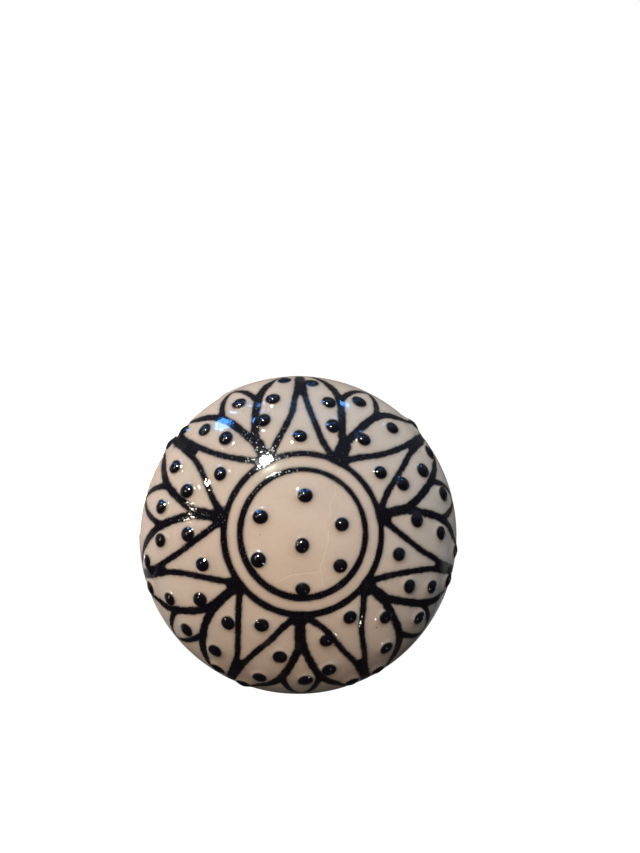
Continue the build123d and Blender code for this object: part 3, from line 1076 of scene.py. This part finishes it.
class KNOB_OT_threaded_bolt(bpy.types.Operator):
    """Cut the bolt's thread and set its shank and hexagon head"""

    bl_idname = "knob.threaded_bolt"
    bl_label = "Threaded Bolt"

    segments = 40
    rows_per_turn = 12
    shank_end = -0.3 * MM
    head_break = 0.25 * MM

    def execute(self, context):
        fixing = context.scene.knob_fixing
        pitch = fixing.thread_pitch
        crest = fixing.thread_diameter / 2
        tip = bolt_high.y
        count = self.segments
        turns = np.linspace(0, 2 * pi, count, endpoint=False)
        shank = np.full(count, fixing.shank_diameter / 2)
        rows = [(bolt_low.y + fixing.head_thickness, shank), (self.shank_end, shank)]
        for depth in np.linspace(0, tip, ceil(tip / pitch * self.rows_per_turn) + 1):
            phase = (depth / pitch - turns / (2 * pi)) % 1.0
            tooth = np.clip(1.35 - 3.2 * np.abs(phase - 0.5), 0, 1)
            runout = min(1.0, depth / pitch)
            radius = crest - fixing.thread_depth * (1 - tooth) * runout
            rows.append((depth, np.minimum(radius, crest - fixing.tip_chamfer + (tip - depth))))
        points = [(r * cos(t), depth, r * sin(t)) for depth, radius in rows for r, t in zip(radius, turns)]
        faces = [tuple(range(count)), tuple(reversed(range(len(points) - count, len(points))))]
        for row in range(len(rows) - 1):
            faces += band(row * count, (row + 1) * count, count)
        head, head_faces = self.head(fixing)
        faces += shifted(head_faces, len(points))
        piece = surface_mesh("threaded_bolt", np.array(points + head), faces)
        sharpen(piece, 32)
        zinc = plated_metal("zinc_plate", context.scene.knob_finish.zinc, 0.6, 0.12, 0.01 * MM)
        finish_piece(piece, zinc, "zinc_bolt", "mounting_bolt")
        return {"FINISHED"}

    def head(self, fixing):
        """Points and faces of the hexagon head, its front edges broken."""
        corner = fixing.head_width / 2 / cos(pi / 6)
        front = bolt_low.y
        levels = ((0.9, front), (1.0, front + self.head_break), (1.0, front + fixing.head_thickness))
        angles = [radians(30 + 60 * k) for k in range(6)]
        points = [(corner * s * cos(a), depth, corner * s * sin(a)) for s, depth in levels for a in angles]
        caps = [tuple(range(6)), tuple(reversed(range(12, 18)))]
        return points, band(0, 6, 6) + band(6, 12, 6) + caps


class KNOB_OT_set_plaster(bpy.types.Operator):
    """Give the plug in the socket its plaster"""

    bl_idname = "knob.set_plaster"
    bl_label = "Setting Plaster"

    def execute(self, context):
        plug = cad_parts["setting_plaster"]
        plug.data.materials.clear()
        plug.data.materials.append(setting_plaster())
        return {"FINISHED"}


class KNOB_OT_studio(bpy.types.Operator):
    """Set the floor, the backdrop, the lamps and the camera"""

    bl_idname = "knob.studio"
    bl_label = "Studio"

    def execute(self, context):
        studio = context.scene.knob_studio
        self.target = Vector((0.0, body_outline()["girth_y"], 0.0))
        context.scene.view_settings.view_transform = "Standard"
        self.sweep(studio)
        self.dim_front(studio)
        self.surroundings(context.scene, studio)
        self.lamps(studio)
        self.camera(context.scene, studio)
        return {"FINISHED"}

    def lamps(self, studio):
        """The key, the fills that are not mirrored, and the glints that only the gloss shows."""
        fill = {"mirrored": False}
        glint = {"lighting": False}
        key_way = (-0.27, -0.725, 0.634)
        self.lamp("key", key_way, 0.5, (0.03, 0.03), studio.key_light, (0.45, 0.72, 1.0))
        self.lamp("key_bulb", key_way, 0.49, (0.036, 0.036), 1.4, (1.0, 0.95, 0.78), **glint)
        fills = (
            ("soft_fill", (-0.5, -1.0, 0.5), 0.4, (0.15, 0.15), (1.0, 0.82, 0.38)),
            ("front_fill", (-0.2, -1.0, 0.15), 0.3, (0.12, 0.12), (1.0, 0.94, 0.93)),
            ("near_fill", (0.0, -1.0, 0.0), 0.05, (0.012, 0.012), (1.0, 0.4, 0.02)),
            ("back_fill", (-0.95, 0.25, 0.2), 0.6, (0.3, 0.3), (0.83, 0.87, 1.0)),
            ("cool_fill", (0.65, -0.35, 0.68), 0.6, (0.4, 0.4), (0.33, 0.64, 1.0)),
            ("rim_light", (-0.55, 0.55, 0.6), 0.6, (0.2, 0.3), (1.0, 0.68, 0.65)),
            ("rear_fill", (0.5, 0.5, 0.7), 0.6, (0.2, 0.2), (1.0, 0.77, 0.48)),
        )
        for name, direction, distance, size, colour in fills:
            self.lamp(name, direction, distance, size, getattr(studio, name), colour, **fill)
        self.lamp("rim_spot", (-0.3, 0.93, 0.2), 0.5, (0.2, 0.2), 0.2, (1.0, 0.93, 0.85))
        self.lamp("low_spot", (0.48, -0.53, -0.7), 0.1, (0.006, 0.006), 0.03, (0.9, 0.97, 1.0), **glint)
        sky = (0.06, 0.305, 1.0)
        windows = (
            ("window_left", (-0.543, -0.103, 0.833), (0.15, 0.065), 0.8, sky, glint),
            ("sky_panel", (0.15, -0.2, 0.95), (0.3, 0.2), 0.12, (0.12, 0.4, 1.0), glint),
            ("window_middle", (-0.26, -0.12, 0.957), (0.06, 0.025), 0.1, sky, {}),
            ("window_right", (0.36, -0.027, 0.933), (0.06, 0.045), 0.2, sky, glint),
        )
        for name, direction, size, share, colour, role in windows:
            self.lamp(name, direction, 0.5, size, studio.window * share, colour, **role)
        side_spots = (
            ((-0.74, -0.53, 0.42), 0.1),
            ((-0.84, -0.49, 0.22), 0.02),
            ((-0.87, -0.48, 0.08), 0.08),
        )
        for k, (direction, level) in enumerate(side_spots):
            self.lamp(f"side_spot_{k}", direction, 0.5, (0.025, 0.025), level, (1.0, 0.88, 0.66), **glint)

    def seen_directly(self, nodes):
        """One for rays that look at the background itself or at its mirror image, else nought."""
        path = nodes.add("ShaderNodeLightPath").outputs
        seen = nodes.math("ADD", path["Is Camera Ray"], path["Is Glossy Ray"], clamp=True)
        return nodes.math("ADD", seen, path["Is Transmission Ray"], clamp=True)

    def sweep(self, studio):
        """Pale floor that curves up into a backdrop, its glow a little dimmer round the knob as a painted
        shade.
        """
        drop = -studio.floor_drop
        half_width = 1.6
        front_edge = -1.2
        bend_start = 0.75
        bend = 0.25
        outline = [(front_edge, drop), (bend_start, drop)]
        for turn in np.linspace(0.1, pi / 2, 14):
            outline.append((bend_start + bend * sin(turn), drop + bend * (1 - cos(turn))))
        outline.append((bend_start + bend, 1.4))
        points = [(side, depth, height) for depth, height in outline for side in (-half_width, half_width)]
        faces = [(2 * k, 2 * k + 1, 2 * k + 3, 2 * k + 2) for k in range(len(outline) - 1)]
        floor = surface_mesh("sweep", np.array(points), faces)
        material, nodes, shader = new_material("pale_sweep")
        place = nodes.place()
        level = nodes.span(nodes.noise(place, 6.0), 0.3, 0.7, 0.05, 0.06)
        shade = nodes.add("ShaderNodeCombineColor")
        for socket in shade.inputs:
            nodes.join(level, socket)
        nodes.join(shade.outputs[0], shader["Base Color"])
        shader["Roughness"].default_value = 0.9
        shader["Emission Color"].default_value = (1.0, 1.0, 1.0, 1.0)
        # Painted shade: the floor glows a little less within about 0.3 m of the knob
        glow_dimmed_round_knob = nodes.span(nodes.vector("LENGTH", place, output=1), 0.06, 0.3, 0.95, 1.0)
        nodes.join(nodes.times(self.seen_directly(nodes), glow_dimmed_round_knob), shader["Emission Strength"])
        floor.data.materials.append(material)

    def dim_front(self, studio):
        """A dark card round the front, which only the glaze's mirror images see; its glow is a painted
        reflection of a room.
        """
        reach = 0.8
        segments = 48
        outline = [(0.0, self.target.y - reach)]
        for turn in np.linspace(0.15, radians(166), 24):
            outline.append((reach * sin(turn), self.target.y - reach * cos(turn)))
        points, faces = revolve_mesh(outline, segments)
        points[:, 2] = np.maximum(points[:, 2], 2 * MM - studio.floor_drop)
        card = surface_mesh("dim_front", points, faces)
        material = bpy.data.materials.new("dim_card")
        material.use_nodes = True
        nodes = Nodes(material.node_tree)
        glow = nodes.add("ShaderNodeEmission")
        place = nodes.place()
        x, y, z = nodes.axes(place)
        # Painted reflection: darkest low in front, paler low behind on the left, bluish higher up in front,
        # and a pale patch on the floor behind the knob
        behind = nodes.span(y, 0.1, 0.35)
        low_behind = nodes.mix(nodes.span(x, 0.2, -0.3), (0.06, 0.058, 0.055), (0.2, 0.195, 0.19))
        low = nodes.mix(behind, (0.03, 0.026, 0.024), low_behind)
        high = nodes.mix(behind, (0.14, 0.16, 0.2), (0.12, 0.12, 0.125))
        walls = nodes.mix(nodes.span(z, -0.05, 0.75), low, high)
        away = nodes.span(nodes.vector("LENGTH", place, output=1), 0.23, 0.29)
        on_floor = nodes.times(away, nodes.span(z, -0.06, -0.07))
        painted_pale_patch = nodes.times(on_floor, nodes.span(y, 0.05, 0.15))
        nodes.join(nodes.mix(painted_pale_patch, walls, (0.28, 0.275, 0.27)), glow.inputs["Color"])
        nodes.join(glow.outputs[0], nodes.add("ShaderNodeOutputMaterial").inputs["Surface"])
        card.data.materials.append(material)
        card.visible_camera = False
        card.visible_diffuse = False
        card.visible_shadow = False
        card.visible_transmission = False

    def surroundings(self, scene, studio):
        """White all round where it is seen directly, dim as a source of light."""
        world = bpy.data.worlds.new("studio_room")
        world.use_nodes = True
        nodes = Nodes(world.node_tree)
        light = nodes.add("ShaderNodeBackground")
        seen = self.seen_directly(nodes)
        nodes.join(nodes.span(seen, 0.0, 1.0, studio.ambient, 1.0), light.inputs["Strength"])
        light.inputs["Color"].default_value = (1.0, 1.0, 1.0, 1.0)
        nodes.join(light.outputs[0], nodes.add("ShaderNodeOutputWorld").inputs["Surface"])
        scene.world = world

    def lamp(self, name, direction, distance, size, level, colour, mirrored=True, lighting=True):
        """A soft lamp at a direction from the knob; its level is the brightness it gives a white surface."""
        light = bpy.data.lights.new(name, "AREA")
        light.shape = "ELLIPSE" if size[0] == size[1] else "RECTANGLE"
        light.size = size[0]
        light.size_y = size[1]
        light.energy = level * pi**2 * distance**2
        light.color = colour
        lamp = bpy.data.objects.new(name, light)
        away = Vector(direction).normalized()
        lamp.location = self.target + away * distance
        lamp.rotation_euler = away.to_track_quat("Z", "Y").to_euler()
        lamp.visible_glossy = mirrored
        lamp.visible_diffuse = lighting
        bpy.context.scene.collection.objects.link(lamp)

    def camera(self, scene, studio):
        """Looks at the knob so that it stands low and a little left in the picture."""
        photo_size = (640, 853)
        knob_middle = (298.2, 534.5)
        knob_radius = 158.5
        scale = body_high.x / knob_radius
        level = cos(studio.rise)
        back = Vector((sin(studio.turn) * level, -cos(studio.turn) * level, sin(studio.rise)))
        right = Vector((cos(studio.turn), sin(studio.turn), 0.0))
        up = back.cross(right)
        eye = self.target + back * studio.distance
        across = (photo_size[0] / 2 - knob_middle[0]) * scale
        above = (knob_middle[1] - photo_size[1] / 2) * scale
        aim = self.target + right * across + up * above
        lens = bpy.data.cameras.new("camera")
        lens.sensor_width = 36.0
        lens.lens = lens.sensor_width / photo_size[1] * studio.distance / scale
        lens.clip_start = 0.01
        lens.clip_end = 20.0
        camera = bpy.data.objects.new("camera", lens)
        camera.location = eye
        camera.rotation_euler = (aim - eye).to_track_quat("-Z", "Y").to_euler()
        scene.collection.objects.link(camera)
        scene.camera = camera


class KNOB_PT_panel(bpy.types.Panel):
    """Lists the knob's sizes and pieces"""

    bl_idname = "KNOB_PT_panel"
    bl_label = "Cabinet Knob"
    bl_space_type = "VIEW_3D"
    bl_region_type = "UI"
    bl_category = "Knob"

    def draw(self, context):
        layout = self.layout
        for name in PROPERTY_GROUPS:
            group = getattr(context.scene, name)
            box = layout.box()
            for prop in group.bl_rna.properties:
                if prop.identifier not in ("rna_type", "name"):
                    box.prop(group, prop.identifier)
        for operator in OPERATORS:
            layout.operator(operator.bl_idname)


PROPERTY_GROUPS = {
    "knob_shape": KnobShape,
    "slip_trail": SlipTrail,
    "knob_fixing": KnobFixing,
    "knob_finish": KnobFinish,
    "knob_studio": KnobStudio,
}
OPERATORS = (
    KNOB_OT_glazed_body,
    KNOB_OT_trailed_lines,
    KNOB_OT_trailed_dots,
    KNOB_OT_turned_ferrule,
    KNOB_OT_threaded_bolt,
    KNOB_OT_set_plaster,
    KNOB_OT_studio,
)


def register():
    for group in PROPERTY_GROUPS.values():
        bpy.utils.register_class(group)
    for name, group in PROPERTY_GROUPS.items():
        setattr(bpy.types.Scene, name, PointerProperty(type=group))
    for operator in OPERATORS:
        bpy.utils.register_class(operator)
    bpy.utils.register_class(KNOB_PT_panel)


def unregister():
    bpy.utils.unregister_class(KNOB_PT_panel)
    for operator in reversed(OPERATORS):
        bpy.utils.unregister_class(operator)
    for name, group in PROPERTY_GROUPS.items():
        delattr(bpy.types.Scene, name)
        bpy.utils.unregister_class(group)


def main():
    register()
    for operator in OPERATORS:
        family, name = operator.bl_idname.split(".")
        getattr(getattr(bpy.ops, family), name)()


if __name__ == "__main__":
    main()
